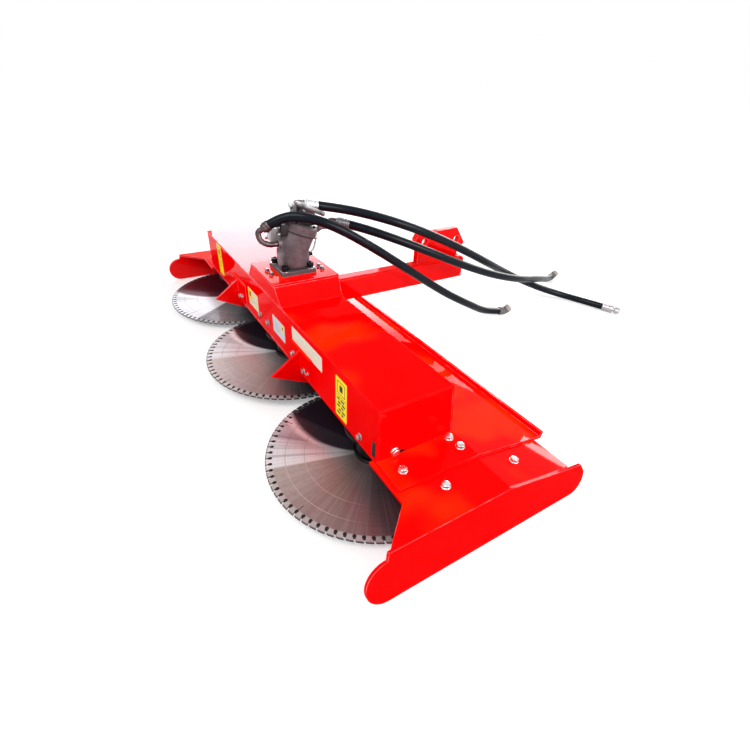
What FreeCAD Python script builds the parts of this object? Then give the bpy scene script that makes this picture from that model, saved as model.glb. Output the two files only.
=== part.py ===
import FreeCAD, Part
import math
import os
import Sketcher
from FreeCAD import Placement, Rotation, Vector

# Tree trimmer saw head: a hooded beam with three saw blades below its front edge, two skid shoes,
# two guide fingers, a hydraulic motor on a stand, a boom arm and three hydraulic hoses.
# Frame: +Z up, X along the beam (near end +X), -Y towards the cut, Z = 0 on the floor.

doc = FreeCAD.newDocument("TreeTrimmerSawHead")
sheet = doc.addObject("Spreadsheet::Sheet", "Sizes")

SIZES = [
    # beam and hood
    ("base_top", 137), ("plate_gauge", 8), ("front_y", -80), ("bend_y", 155), ("tail_y", 392),
    ("slope_deg", 10), ("lip_rise", 15), ("base_half", 825),
    ("hood_top", 292), ("hood_gauge", 5), ("hood_back_y", 134), ("hood_foot_y", 153),
    ("hood_half", 725),
    # end shoes
    ("shoe_inner_x", 708), ("fold_x", 942), ("splay_deg", 10), ("nose_y", -188),
    ("nose_radius", 54), ("fold_front_y", -184), ("step_front_y", -90), ("step_x", 851),
    ("heel_y", 372), ("heel_radius", 58),
    # guide fingers
    ("finger_shift", 2), ("finger_gauge", 8), ("finger_top_y", -88), ("finger_top_z", 224),
    ("finger_tip_y", -179), ("finger_tip_z", 158), ("finger_root_z", 102), ("finger_root_y", -67),
    ("flange_half", 74), ("flange_low_z", 148), ("flange_high_z", 224),
    # blades and spindles
    ("blade_overlap", 8), ("blade_radius", 300), ("blade_gauge", 4), ("blade_z", 27),
    ("blade_step", 11), ("teeth", 80), ("gullet_radius", 5), ("tooth_depth", 19),
    ("slits", 5), ("slit_width", 2), ("slit_length", 17),
    ("hub_radius", 58), ("hub_thick", 12), ("spindle_radius", 20), ("run_fit", 0.05),
    ("spigot_radius", 15), ("clamp_radius", 55), ("clamp_thick", 9), ("housing_radius", 52),
    ("housing_gap", 3), ("housing_flange_radius", 85), ("housing_flange_thick", 12),
    # motor stand
    ("stand_top", 349), ("stand_plate", 8), ("stand_wall", 6), ("stand_left_x", -119),
    ("stand_right_x", 101), ("stand_flare_left", 41), ("stand_flare_right", 46),
    ("stand_back_y", 146),
    # boom arm and ear
    ("arm_width", 50), ("arm_wall", 5), ("arm_low_z", 207),
    ("arm_end_y", 768), ("arm_corner", 8), ("ear_gauge", 25), ("pin_radius", 15),
    ("pin_first_y", 567), ("pin_first_z", 374), ("pin_second_y", 725), ("pin_second_z", 367),
    ("ear_top", 410), ("ear_front_y", 526), ("ear_front_z", 337), ("ear_back_z", 350),
    ("ear_notch_y", 737),
    # motor
    ("motor_x", -6), ("motor_y", 28), ("flange_side", 118), ("motor_flange", 13),
    ("barrel_shift", 4), ("barrel_radius", 53), ("barrel_height", 53), ("neck_y", 56),
    ("neck_z", 470), ("neck_radius", 52), ("lean_deg", 20), ("cap_height", 28), ("cap_radius", 56),
    ("cap_round", 5),
    # hoses and fittings
    ("boss_reach", 30), ("boss_length", 27), ("boss_radius", 16), ("port_z", 440),
    ("hose_diameter", 30), ("ferrule_diameter", 34), ("pipe_diameter", 18),
    ("ferrule_length", 46), ("ferrule_short", 26), ("nut_flats", 30), ("nut_length", 22),
    ("port_rise", 14), ("port_reach", 56), ("rear_port_x", -30), ("rear_port_reach", 4), ("rear_port_radius", 12), ("pipe_lead", 18),
]
for row, (alias, amount) in enumerate(SIZES, start=1):
    sheet.set("A%d" % row, alias)
    sheet.set("B%d" % row, str(amount))
    sheet.setAlias("B%d" % row, alias)
doc.recompute()

pieces = []
# The row's origin lies below the middle of the object's own length, from blade rim to arm end.
ORIGIN = "(Sizes.arm_end_y - Sizes.blade_radius) / 2"


def size(expression):
    """Value of an expression over the sheet's sizes."""
    value = sheet.evalExpression(expression)
    return float(getattr(value, "Value", value))


def s(text):
    """Sheet names in an expression: words that start with @ are aliases."""
    return text.replace("@", "Sizes.")


def newBody(label):
    body = doc.addObject("PartDesign::Body", label)
    body.Label = label
    body.setExpression("Placement.Base.y", "-1 * " + ORIGIN)
    pieces.append(body)
    return body


def newSketch(body, role, lift=None):
    """Sketch on one of the body's own planes, lifted along that plane's normal."""
    plane = [item for item in body.Origin.OriginFeatures if item.Role == role][0]
    sketch = body.newObject("Sketcher::SketchObject", body.Label + "_sketch")
    sketch.AttachmentSupport = [(plane, "")]
    sketch.MapMode = "FlatFace"
    if lift is not None:
        sketch.AttachmentOffset = Placement(Vector(0, 0, size(s(lift))), Rotation())
        sketch.setExpression("AttachmentOffset.Base.z", s(lift))
    return sketch


def holdPoint(sketch, index, where, pair):
    """Fix one end of an edge at an (x, y) pair of expressions."""
    for kind, text in zip(("DistanceX", "DistanceY"), pair):
        number = sketch.addConstraint(Sketcher.Constraint(kind, index, where, size(s(text))))
        sketch.setExpression("Constraints[%d]" % number, s(text))


def polygon(sketch, points):
    """Closed outline through points given as pairs of expressions."""
    places = [Vector(size(s(a)), size(s(b)), 0) for a, b in points]
    count = len(places)
    first = sketch.GeometryCount
    for i in range(count):
        sketch.addGeometry(Part.LineSegment(places[i], places[(i + 1) % count]), False)
    for i in range(count):
        sketch.addConstraint(
            Sketcher.Constraint("Coincident", first + i, 2, first + (i + 1) % count, 1))
    for i, pair in enumerate(points):
        holdPoint(sketch, first + i, 1, pair)


def circle(sketch, centre, radius):
    """Circle with its centre and radius given as expressions."""
    middle = Vector(size(s(centre[0])), size(s(centre[1])), 0)
    index = sketch.addGeometry(Part.Circle(middle, Vector(0, 0, 1), size(s(radius))), False)
    holdPoint(sketch, index, 3, centre)
    number = sketch.addConstraint(Sketcher.Constraint("Radius", index, size(s(radius))))
    sketch.setExpression("Constraints[%d]" % number, s(radius))


def pad(body, sketch, length, both=False, reverse=False):
    feature = body.newObject("PartDesign::Pad", body.Label + "_pad")
    feature.Profile = sketch
    feature.SideType = "Symmetric" if both else "One side"
    feature.Reversed = reverse
    feature.setExpression("Length", s(length))
    sketch.Visibility = False
    return feature


def pocket(body, sketch, reverse=False, length=None, both=False):
    feature = body.newObject("PartDesign::Pocket", body.Label + "_pocket")
    feature.Profile = sketch
    feature.Reversed = reverse
    feature.SideType = "Symmetric" if both else "One side"
    if length is None:
        feature.Type = "ThroughAll"
    else:
        feature.setExpression("Length", s(length))
    return feature


def revolve(body, points):
    """Turned piece: outline in radius and height, turned about the body's Z axis."""
    sketch = newSketch(body, "XZ_Plane")
    polygon(sketch, points)
    feature = body.newObject("PartDesign::Revolution", body.Label + "_turned")
    feature.Profile = sketch
    feature.ReferenceAxis = (sketch, ["V_Axis"])
    feature.Angle = 360
    return feature



def fillet(body, radius, places):
    """Round the straight edges whose middles lie nearest the given places."""
    doc.recompute()
    base = body.Tip
    names = []
    for place in places:
        gaps = [(edge.CenterOfMass.sub(place).Length, i)
                for i, edge in enumerate(base.Shape.Edges, start=1)]
        names.append("Edge%d" % min(gaps)[1])
    feature = body.newObject("PartDesign::Fillet", body.Label + "_fillet")
    feature.Base = (base, names)
    feature.setExpression("Radius", s(radius))
    return feature


def routeWire(points, label):
    """Straight runs joined by tangent arcs, each as large as its two runs allow."""
    runs = [points[i + 1].sub(points[i]) for i in range(len(points) - 1)]
    edges = []
    start = points[0]
    radii = []
    for i in range(1, len(points) - 1):
        before, after = Vector(runs[i - 1]), Vector(runs[i])
        short = min(before.Length, after.Length)
        before.normalize()
        after.normalize()
        turn = before.getAngle(after)
        reach = 0.45 * short
        radii.append(reach / math.tan(turn / 2))
        enter = points[i].sub(before * reach)
        leave = points[i].add(after * reach)
        inward = after.sub(before)
        inward.normalize()
        centre = points[i].add(inward * (radii[-1] / math.cos(turn / 2)))
        middle = centre.sub(inward * radii[-1])
        edges.append(Part.LineSegment(start, enter).toShape())
        edges.append(Part.Arc(enter, middle, leave).toShape())
        start = leave
    edges.append(Part.LineSegment(start, points[-1]).toShape())
    print(label, "radii", [round(r) for r in radii])
    return Part.Wire(edges)


def tube(label, points, diameter):
    """Round tube along a route."""
    wire = routeWire(points, label)
    start = points[0]
    way = points[1].sub(points[0])
    ring = Part.Wire([Part.Circle(start, way, diameter / 2).toShape()])
    shape = wire.makePipeShell([ring], True, False)
    exact = math.pi * diameter ** 2 / 4 * wire.Length
    print(label, "length", round(wire.Length), "volume ratio", round(shape.Volume / exact, 4))
    piece = doc.addObject("Part::Feature", label)
    piece.Label = label
    piece.Shape = shape
    piece.Placement = Placement()
    pieces.append(piece)
    return piece


# Bent base plate: flat under the hood, then sloping down to an upturned lip.
TAN = "tan(@slope_deg * 1deg)"
SIN = "sin(@slope_deg * 1deg)"
COS = "cos(@slope_deg * 1deg)"
HALF = "tan(@slope_deg * 0.5deg)"
tailTop = "@base_top - (@tail_y - @bend_y) * " + TAN
base = newBody("base_plate")
outline = newSketch(base, "YZ_Plane")
polygon(outline, [
    ("@front_y", "@base_top"),
    ("@bend_y", "@base_top"),
    ("@tail_y", tailTop),
    ("@tail_y + @lip_rise * " + SIN, tailTop + " + @lip_rise * " + COS),
    ("@tail_y + @lip_rise * " + SIN + " + @plate_gauge * " + COS,
     tailTop + " + @lip_rise * " + COS + " - @plate_gauge * " + SIN),
    ("@tail_y + @plate_gauge * (" + COS + " - " + SIN + ")",
     tailTop + " - @plate_gauge * (" + COS + " + " + SIN + ")"),
    ("@bend_y - @plate_gauge * " + HALF, "@base_top - @plate_gauge"),
    ("@front_y", "@base_top - @plate_gauge"),
])
pad(base, outline, "2 * @base_half", both=True)

# Hood: one sheet for the top and the leaning back, a front panel and two end plates.
LEAN = "(@hood_foot_y - @hood_back_y) / (@hood_top - @base_top)"
WALL = "@hood_gauge * sqrt(1 + (" + LEAN + ")^2)"
innerTop = "@hood_back_y + @hood_gauge * " + LEAN + " - " + WALL
hood = newBody("hood_cover")
outline = newSketch(hood, "YZ_Plane")
polygon(outline, [
    ("@front_y", "@hood_top"),
    ("@hood_back_y", "@hood_top"),
    ("@hood_foot_y", "@base_top"),
    ("@hood_foot_y - " + WALL, "@base_top"),
    (innerTop, "@hood_top - @hood_gauge"),
    ("@front_y", "@hood_top - @hood_gauge"),
])
pad(hood, outline, "2 * @hood_half", both=True)

panel = newBody("front_panel")
outline = newSketch(panel, "YZ_Plane")
polygon(outline, [
    ("@front_y", "@base_top"),
    ("@front_y", "@hood_top - @hood_gauge"),
    ("@front_y + @hood_gauge", "@hood_top - @hood_gauge"),
    ("@front_y + @hood_gauge", "@base_top"),
])
pad(panel, outline, "2 * @hood_half", both=True)

for side, label in ((1, "hood_end_near"), (-1, "hood_end_far")):
    end = newBody(label)
    inner = "@hood_half - @hood_gauge" if side > 0 else "-@hood_half"
    outline = newSketch(end, "YZ_Plane", inner)
    polygon(outline, [
        ("@front_y + @hood_gauge", "@base_top"),
        ("@front_y + @hood_gauge", "@hood_top - @hood_gauge"),
        (innerTop, "@hood_top - @hood_gauge"),
        ("@hood_foot_y - " + WALL, "@base_top"),
    ])
    pad(end, outline, "@hood_gauge")

# End shoes: a flat carried under the base plate and a splayed skid plate folded down from it.
SHOE = "@base_top - @plate_gauge"
shoeBend = "@bend_y - @plate_gauge * " + HALF
shoeTail = SHOE + " - (@heel_y - @bend_y + @plate_gauge * " + HALF + ") * " + TAN
splayCos = "cos(@splay_deg * 1deg)"
DROP = "(" + SHOE + ") / " + splayCos
for side, label in ((1, "end_shoe_near"), (-1, "end_shoe_far")):
    shoe = newBody(label)
    inner = "@shoe_inner_x" if side > 0 else "-@fold_x + @plate_gauge / 2"
    outline = newSketch(shoe, "YZ_Plane", inner)
    polygon(outline, [
        ("@fold_front_y", SHOE),
        (shoeBend, SHOE),
        ("@heel_y", shoeTail),
        ("@heel_y - @plate_gauge * " + SIN, shoeTail + " - @plate_gauge * " + COS),
        (shoeBend + " - @plate_gauge * " + HALF, SHOE + " - @plate_gauge"),
        ("@fold_front_y", SHOE + " - @plate_gauge"),
    ])
    pad(shoe, outline, "@fold_x - @plate_gauge / 2 - @shoe_inner_x")
    turn = "-@splay_deg" if side > 0 else "@splay_deg"
    skid = newSketch(shoe, "YZ_Plane")
    reach = "@fold_x - @plate_gauge" if side > 0 else "-@fold_x + @plate_gauge"
    skid.AttachmentOffset = Placement(
        Vector(0, size(s(SHOE)), size(s(reach))), Rotation(Vector(1, 0, 0), size(s(turn))))
    skid.setExpression("AttachmentOffset.Base.y", s(SHOE))
    skid.setExpression("AttachmentOffset.Base.z", s(reach))
    skid.setExpression("AttachmentOffset.Rotation.Axis.x", "1")
    skid.setExpression("AttachmentOffset.Rotation.Angle", s(turn))
    polygon(skid, [
        ("@fold_front_y", "0"),
        ("@nose_y", "2 * @nose_radius / " + splayCos + " - " + DROP),
        ("@nose_y - @nose_radius", "2 * @nose_radius / " + splayCos + " - " + DROP),
        ("@nose_y - @nose_radius", "-" + DROP),
        ("@heel_y + @heel_radius", "-" + DROP),
        ("@heel_y + @heel_radius", "@heel_radius - " + DROP),
        ("@heel_y + 0.7 * @heel_radius", "(" + shoeTail + ") / " + splayCos + " - " + DROP
         + " - 0.1 * @heel_radius"),
        ("@heel_y", "(" + shoeTail + ") / " + splayCos + " - " + DROP),
        (shoeBend, "0"),
    ])
    pad(shoe, skid, "@plate_gauge", reverse=side < 0)
    tilt = math.radians(size("Sizes.splay_deg"))
    gauge = size("Sizes.plate_gauge")
    shoeZ = size(s(SHOE))
    foldX = size("Sizes.fold_x") - gauge

    def onSkid(y, z):
        out = foldX + (shoeZ - z) * math.tan(tilt) + gauge / 2 * math.cos(tilt)
        return Vector(side * out, y, z + gauge / 2 * math.sin(tilt))

    noseY = size("Sizes.nose_y - Sizes.nose_radius")
    heelY = size("Sizes.heel_y + Sizes.heel_radius")
    noseTop = size("2 * Sizes.nose_radius")
    fillet(shoe, "@nose_radius - 0.2", [onSkid(noseY, 0), onSkid(noseY, noseTop)])
    fillet(shoe, "0.8 * @heel_radius", [onSkid(heelY, 0)])
    fillet(shoe, "0.35 * @heel_radius", [onSkid(heelY, size("Sizes.heel_radius"))])
    front = newSketch(shoe, "XY_Plane", SHOE + " - 2 * @plate_gauge")
    sign = "" if side > 0 else "-1 * "
    polygon(front, [
        (sign + "(@shoe_inner_x - 1)", "@fold_front_y - 1"),
        (sign + "(@shoe_inner_x - 1)", "@step_front_y"),
        (sign + "@step_x", "@step_front_y"),
        (sign + "(@fold_x - @plate_gauge)", "@fold_front_y + @plate_gauge"),
        (sign + "(@fold_x - @plate_gauge)", "@fold_front_y - 1"),
    ])
    pocket(shoe, front, reverse=True, length="3 * @plate_gauge")

# Guide fingers: a fin welded to a flange on the front panel, where two blades meet.
PITCH = "(2 * @blade_radius - @blade_overlap)"
for side, label in ((1, "finger_near"), (-1, "finger_far")):
    finger = newBody(label)
    middle = "%d * (%s / 2 + @finger_shift)" % (side, PITCH)
    flange = newSketch(finger, "XZ_Plane", "-@front_y")
    polygon(flange, [
        (middle + " - @flange_half", "@flange_low_z"),
        (middle + " + @flange_half", "@flange_low_z"),
        (middle + " + @flange_half", "@flange_high_z"),
        (middle + " - @flange_half", "@flange_high_z"),
    ])
    pad(finger, flange, "@finger_gauge")
    fin = newSketch(finger, "YZ_Plane", middle)
    polygon(fin, [
        ("@finger_top_y", "@finger_top_z"),
        ("@finger_tip_y", "@finger_tip_z"),
        ("@finger_root_y", "@finger_root_z"),
        ("@finger_root_y", "@base_top - @plate_gauge"),
        ("@front_y", "@base_top - @plate_gauge"),
        ("@front_y", "@flange_low_z"),
        ("@front_y - @finger_gauge / 2", "@flange_low_z"),
        ("@front_y - @finger_gauge / 2", "@flange_high_z"),
    ])
    pad(finger, fin, "@finger_gauge", both=True)

# Spindles: fixed housing, turning spindle with its hub flange, toothed blade and clamp plate.
for place, step, label in ((1, "0", "near"), (0, "@blade_step", "mid"), (-1, "0", "far")):
    along = "%d * %s" % (place, PITCH)
    bladeTop = "@blade_z + @blade_gauge / 2 + " + step
    bladeLow = "@blade_z - @blade_gauge / 2 + " + step
    hubTop = bladeTop + " + @hub_thick"
    under = "@base_top - @plate_gauge"
    crown = under + " - @housing_flange_thick"
    housing = newBody("spindle_housing_" + label)
    revolve(housing, [
        ("@spindle_radius + @run_fit", hubTop + " + @housing_gap"),
        ("@housing_radius", hubTop + " + @housing_gap"),
        ("@housing_radius", crown),
        ("@housing_flange_radius", crown),
        ("@housing_flange_radius", under),
        ("0", under),
        ("0", crown),
        ("@spindle_radius + @run_fit", crown),
    ])
    spindle = newBody("spindle_" + label)
    revolve(spindle, [
        ("0", bladeLow + " - @clamp_thick"),
        ("@spigot_radius", bladeLow + " - @clamp_thick"),
        ("@spigot_radius", bladeTop),
        ("@hub_radius", bladeTop),
        ("@hub_radius", hubTop),
        ("@spindle_radius", hubTop),
        ("@spindle_radius", crown + " - @housing_gap"),
        ("0", crown + " - @housing_gap"),
    ])
    blade = newBody("saw_blade_" + label)
    disc = newSketch(blade, "XY_Plane", "@blade_z + " + step)
    circle(disc, ("0", "0"), "@blade_radius")
    circle(disc, ("0", "0"), "@spigot_radius + @run_fit")
    pad(blade, disc, "@blade_gauge", both=True)
    middle = "@blade_radius - @tooth_depth + @gullet_radius"
    level = "@blade_z + " + step
    root = newSketch(blade, "XY_Plane", level)
    circle(root, (middle, "0"), "@gullet_radius")
    first = pocket(blade, root, length="2 * @blade_gauge", both=True)
    mouth = newSketch(blade, "XY_Plane", level)
    polygon(mouth, [
        (middle, "-0.98 * @gullet_radius"),
        ("@blade_radius + 1", "0.3 * @gullet_radius"),
        ("@blade_radius + 1", "2.6 * @gullet_radius"),
        ("@blade_radius - 1.2", "1.1 * @gullet_radius"),
        (middle, "0.7 * @gullet_radius"),
    ])
    second = pocket(blade, mouth, length="2 * @blade_gauge", both=True)
    doc.recompute()
    ring = blade.newObject("PartDesign::PolarPattern", "teeth_" + label)
    ring.Originals = [first, second]
    ring.Axis = (disc, ["N_Axis"])
    ring.Angle = 360
    ring.setExpression("Occurrences", "Sizes.teeth")
    blade.Tip = ring
    cut = newSketch(blade, "XY_Plane", level)
    depth = "@blade_radius - @tooth_depth"
    polygon(cut, [
        (depth + " + 1", "-@slit_width / 2"),
        (depth + " + 1", "@slit_width / 2"),
        (depth + " - @slit_length", "@slit_width / 2"),
        (depth + " - @slit_length", "-@slit_width / 2"),
    ])
    slit = pocket(blade, cut, length="2 * @blade_gauge", both=True)
    doc.recompute()
    slots = blade.newObject("PartDesign::PolarPattern", "slits_" + label)
    slots.Originals = [slit]
    slots.Axis = (disc, ["N_Axis"])
    slots.Angle = 360
    slots.setExpression("Occurrences", "Sizes.slits")
    blade.Tip = slots
    clamp = newBody("blade_clamp_" + label)
    revolve(clamp, [
        ("@spigot_radius + @run_fit", bladeLow + " - @clamp_thick"),
        ("@clamp_radius", bladeLow + " - @clamp_thick"),
        ("@clamp_radius", bladeLow),
        ("@spigot_radius + @run_fit", bladeLow),
    ])
    for body in (housing, spindle, blade, clamp):
        body.setExpression("Placement.Base.x", s(along))

# Motor stand: flared walls on the hood with a plate on top.
stand = newBody("motor_stand")
LOW = "@hood_top"
HIGH = "@stand_top - @stand_plate"


def ringSketch(body, lift, grow, inset):
    sketch = newSketch(body, "XY_Plane", lift)
    left = "@stand_left_x - %d * @stand_flare_left + %d * @stand_wall" % (grow, inset)
    right = "@stand_right_x + %d * @stand_flare_right - %d * @stand_wall" % (grow, inset)
    back = ("@hood_back_y" if grow else "@stand_back_y") + " - %d * @stand_wall" % inset
    ahead = "@front_y + %d * @stand_wall" % inset
    polygon(sketch, [(left, ahead), (right, ahead), (right, back), (left, back)])
    return sketch


for kind, inset in (("PartDesign::AdditiveLoft", 0), ("PartDesign::SubtractiveLoft", 1)):
    low = ringSketch(stand, LOW, 1, inset)
    high = ringSketch(stand, HIGH, 0, inset)
    loft = stand.newObject(kind, "motor_stand_walls_%d" % inset)
    loft.Profile = low
    loft.Sections = [high]
    loft.Ruled = True
    doc.recompute()

plate = newBody("stand_top_plate")
outline = newSketch(plate, "XY_Plane", HIGH)
polygon(outline, [
    ("@stand_left_x", "@front_y"),
    ("@stand_right_x", "@front_y"),
    ("@stand_right_x", "@stand_back_y"),
    ("@stand_left_x", "@stand_back_y"),
])
pad(plate, outline, "@stand_plate")

# Boom arm: rectangular tube from the hood's back, closed by a cap, with a pinned ear on top.
arm = newBody("arm_tube")
outline = newSketch(arm, "XZ_Plane", "-@hood_back_y")
for inset in (0, 1):
    low = "@arm_low_z + %d * @arm_wall" % inset
    high = "@hood_top - %d * @arm_wall" % inset
    half = "(@arm_width / 2 - %d * @arm_wall)" % inset
    polygon(outline, [("-1 * " + half, low), (half, low), (half, high), ("-1 * " + half, high)])
pad(arm, outline, "@arm_end_y - @arm_wall - @hood_back_y", reverse=True)
slant = newSketch(arm, "YZ_Plane")
polygon(slant, [
    ("@hood_back_y", "@hood_top"),
    ("@hood_back_y - 1", "@hood_top"),
    ("@hood_back_y - 1", "@arm_low_z - 1"),
    ("@hood_back_y + (@hood_top - @arm_low_z + 1) * " + LEAN, "@arm_low_z - 1"),
])
pocket(arm, slant, length="2 * @arm_width", both=True)


def corners(fore, aft):
    """Middles of a tube's four long outer edges."""
    half = size("Sizes.arm_width / 2")
    along = size("(" + s(fore) + " + " + s(aft) + ") / 2")
    return [Vector(a * half, along, size(z)) for a in (-1, 1)
            for z in ("Sizes.arm_low_z", "Sizes.hood_top")]


fillet(arm, "@arm_corner", corners("@arm_end_y - @arm_wall", "@hood_back_y"))

lid = newBody("arm_end_cap")
outline = newSketch(lid, "XZ_Plane", "-@arm_end_y + @arm_wall")
polygon(outline, [
    ("-@arm_width / 2", "@arm_low_z"),
    ("@arm_width / 2", "@arm_low_z"),
    ("@arm_width / 2", "@hood_top"),
    ("-@arm_width / 2", "@hood_top"),
])
pad(lid, outline, "@arm_wall", reverse=True)
fillet(lid, "@arm_corner", corners("@arm_end_y", "@arm_end_y - @arm_wall"))

ear = newBody("arm_ear")
outline = newSketch(ear, "YZ_Plane")
polygon(outline, [
    ("@ear_front_y + 11", "@hood_top"),
    ("@ear_front_y + 10", "@ear_front_z"),
    ("@ear_front_y - 5", "@ear_top - 21"),
    ("@ear_front_y + 8", "@ear_top"),
    ("@arm_end_y - 46", "@ear_top + 4"),
    ("@arm_end_y", "@ear_back_z"),
    ("@ear_notch_y", "@ear_back_z - 37"),
    ("@ear_notch_y", "@hood_top"),
])
circle(outline, ("@pin_first_y", "@pin_first_z"), "@pin_radius")
circle(outline, ("@pin_second_y", "@pin_second_z"), "@pin_radius")
pad(ear, outline, "@ear_gauge", both=True)

# Hydraulic motor: square flange, barrel leaning back through a neck, and a tilted cap.
mount = newBody("motor_flange")
outline = newSketch(mount, "XY_Plane", "@stand_top")
polygon(outline, [
    ("@motor_x - @flange_side / 2", "@motor_y - @flange_side / 2"),
    ("@motor_x + @flange_side / 2", "@motor_y - @flange_side / 2"),
    ("@motor_x + @flange_side / 2", "@motor_y + @flange_side / 2"),
    ("@motor_x - @flange_side / 2", "@motor_y + @flange_side / 2"),
])
pad(mount, outline, "@motor_flange")

barrelTop = "@stand_top + @motor_flange + @barrel_height"
barrel = newBody("motor_body")
revolve(barrel, [
    ("0", "@stand_top + @motor_flange"),
    ("@barrel_radius - @cap_round", "@stand_top + @motor_flange"),
    ("@barrel_radius", "@stand_top + @motor_flange + 2 * @cap_round"),
    ("@barrel_radius", barrelTop),
    ("0", barrelTop),
])
low = newSketch(barrel, "XY_Plane", barrelTop)
circle(low, ("0", "0"), "@barrel_radius")
high = newSketch(barrel, "XY_Plane")
high.AttachmentOffset = Placement(
    Vector(0, size(s("@neck_y - @motor_y - @barrel_shift")), size(s("@neck_z"))),
    Rotation(Vector(1, 0, 0), size(s("-@lean_deg"))))
high.setExpression("AttachmentOffset.Base.y", s("@neck_y - @motor_y - @barrel_shift"))
high.setExpression("AttachmentOffset.Base.z", s("@neck_z"))
high.setExpression("AttachmentOffset.Rotation.Axis.x", "1")
high.setExpression("AttachmentOffset.Rotation.Angle", s("-@lean_deg"))
circle(high, ("0", "0"), "@neck_radius")
neck = barrel.newObject("PartDesign::AdditiveLoft", "motor_neck")
neck.Profile = low
neck.Sections = [high]
boss = newSketch(barrel, "XZ_Plane", "@barrel_radius - @boss_reach")
circle(boss, ("0", "@port_z"), "@boss_radius")
pad(barrel, boss, "@boss_length")
barrel.setExpression("Placement.Base.x", s("@motor_x"))
barrel.setExpression("Placement.Base.y", s("@motor_y + @barrel_shift - " + ORIGIN))

cap = newBody("motor_cap")
revolve(cap, [
    ("0", "0"),
    ("@cap_radius", "0"),
    ("@cap_radius", "@cap_height - @cap_round"),
    ("@cap_radius - @cap_round", "@cap_height"),
    ("0", "@cap_height"),
])
height = size("Sizes.cap_height")
stub = newSketch(cap, "XZ_Plane", "-1 * (@cap_radius + @rear_port_reach)")
circle(stub, ("@rear_port_x", "@cap_height / 2"), "@rear_port_radius")
pad(cap, stub, "@cap_radius")
cap.Placement = Placement(Vector(), Rotation(Vector(1, 0, 0), size(s("-@lean_deg"))))
cap.setExpression("Placement.Base.x", s("@motor_x"))
cap.setExpression("Placement.Base.y", s("@neck_y - " + ORIGIN))
cap.setExpression("Placement.Base.z", s("@neck_z"))
cap.setExpression("Placement.Rotation.Axis.x", "1")
cap.setExpression("Placement.Rotation.Angle", s("-@lean_deg"))
doc.recompute()

# Hoses: each starts at a ferrule that a bent pipe or elbow joins to the motor.
hoseSize = size("Sizes.hose_diameter")
pipeSize = size("Sizes.pipe_diameter")
ferruleSize = size("Sizes.ferrule_diameter")
routeA = [
    (-6, -41, 502), (13, 0, 529), (50, 55, 531), (78, 119, 511), (93, 193, 472),
    (103, 275, 421), (107, 362, 364), (107, 453, 303), (104, 544, 242), (102, 636, 183),
    (102, 721, 135), (94, 796, 94), (79, 862, 57), (72, 926, 31), (82, 988, 22),
]
routeB = [
    (-7, 243, 472), (25, 291, 460), (57, 353, 439), (86, 437, 407), (109, 536, 365),
    (123, 636, 322), (132, 737, 281), (135, 839, 243), (133, 943, 210), (118, 1040, 181),
    (87, 1129, 154), (57, 1217, 128), (25, 1302, 102), (-12, 1378, 75), (-44, 1440, 51),
    (-72, 1497, 32), (-98, 1555, 24),
]
routeC = [
    (-6, 123, 546), (3, 202, 532), (43, 290, 514), (89, 390, 485), (106, 511, 438),
    (100, 630, 384), (94, 747, 326), (80, 863, 267), (42, 973, 213), (10, 1085, 158),
    (24, 1200, 102), (54, 1303, 60), (96, 1386, 33), (154, 1441, 21), (218, 1477, 17),
    (272, 1495, 18),
]
shift = Vector(0, -size(ORIGIN), 0)
routeA = [Vector(*point) + shift for point in routeA]
routeB = [Vector(*point) + shift for point in routeB]
routeC = [Vector(*point) + shift for point in routeC]


def direction(start, finish):
    way = finish.sub(start)
    way.normalize()
    return way


def turned(label, start, way, points):
    """Turned fitting whose axis starts at a place and points along a direction."""
    body = newBody(label)
    body.setExpression("Placement.Base.y", None)
    revolve(body, points)
    body.Placement = Placement(start, Rotation(Vector(0, 0, 1), way))
    return body


starts = {}
for name, route, length in (
        ("a", routeA, "@ferrule_short"), ("b", routeB, "@ferrule_length"),
        ("c", routeC, "@ferrule_length")):
    way = direction(route[0], route[1])
    starts[name] = route[0].sub(way * size(s(length)))
    turned("ferrule_" + name, starts[name], way, [
        ("0", "0"),
        ("@ferrule_diameter / 2 - 3", "0"),
        ("@ferrule_diameter / 2 - 3", "8"),
        ("@ferrule_diameter / 2", "8"),
        ("@ferrule_diameter / 2", length),
        ("0", length),
    ])
    tube("hose_" + name, route, hoseSize)

# Front port: a pipe that runs forward from the boss and bends up to hose A.
wayA = direction(routeA[0], routeA[1])
portY = size(s("@motor_y + @barrel_shift - @barrel_radius + @boss_reach - @boss_length"))
portA = Vector(size("Sizes.motor_x"), portY, size("Sizes.port_z")) + shift
lead = size("Sizes.pipe_lead")
portOut = size("Sizes.port_reach")
tube("elbow_a", [
    portA, portA + Vector(0, -0.57 * portOut, 0),
    portA + Vector(-6, -portOut, size("Sizes.port_rise")),
    starts["a"] - wayA * lead, starts["a"],
], pipeSize)

# Rear and top ports on the tilted cap.
capPlace = cap.Placement
portX = size("Sizes.rear_port_x")
portFace = size("Sizes.cap_radius + Sizes.rear_port_reach")
back = capPlace.multVec(Vector(portX, portFace, height / 2))
backOut = capPlace.multVec(Vector(portX, portFace + 0.8 * lead, height / 2))
wayB = direction(routeB[0], routeB[1])
tube("elbow_b", [back, backOut, starts["b"] - wayB * lead, starts["b"]], pipeSize)
wayC = direction(routeC[0], routeC[1])
turn = starts["c"] - wayC * 24
foot = capPlace.inverse().multVec(turn)
top = capPlace.multVec(Vector(foot.x, foot.y, height))
tube("elbow_c", [top, turn, starts["c"]], pipeSize + 6)

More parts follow.
